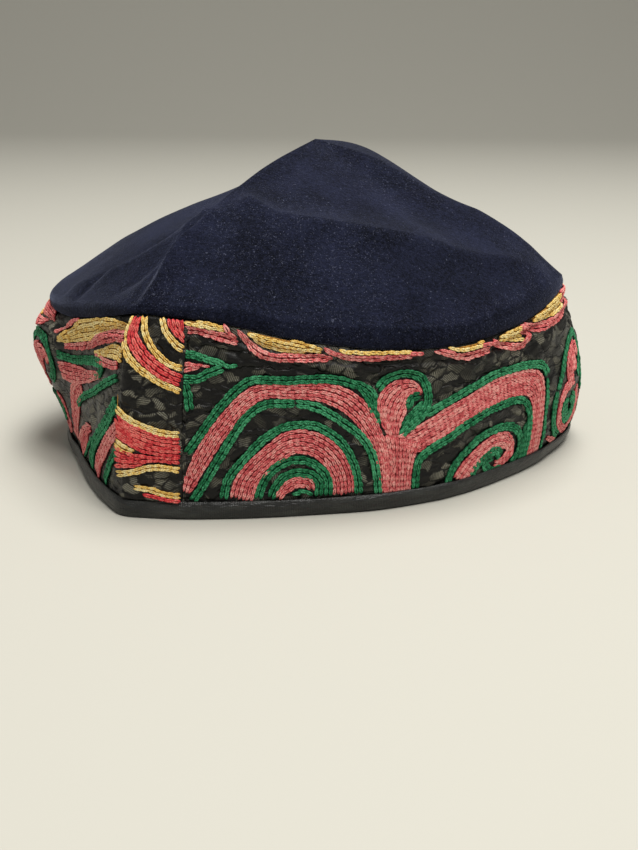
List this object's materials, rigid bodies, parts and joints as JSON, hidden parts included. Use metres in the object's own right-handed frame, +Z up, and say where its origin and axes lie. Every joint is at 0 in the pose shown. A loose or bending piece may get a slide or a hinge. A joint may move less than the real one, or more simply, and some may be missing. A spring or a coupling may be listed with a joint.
{
  "type": "tubeteika skullcap",
  "caption": "Peaked velvet skullcap with a scroll-embroidered band, an embroidered join strip at one corner and a bound rim, open below for the head.",
  "frame": {"origin": "middle of the cap's bounding box, on the surface that the bound rim stands on", "axes": "+Z up, from the rim towards the peak; +X along the cap's longest side, to the right seen from the front; -Y towards the front, where the join strip's corner is on the left"},
  "size_m": [0.202, 0.1774, 0.111],
  "materials": {
    "velvet": "dark navy cotton velvet with a short pile",
    "damask": "black figured satin with coloured chain stitch",
    "strip_damask": "black figured satin with red and yellow chain stitch",
    "binding_satin": "black satin binding with a soft sheen"
  },
  "bodies": {
    "root": {"crown": "velvet", "band": "damask", "join_strip": "strip_damask", "rim_binding": "binding_satin"}
  },
  "joints": []
}
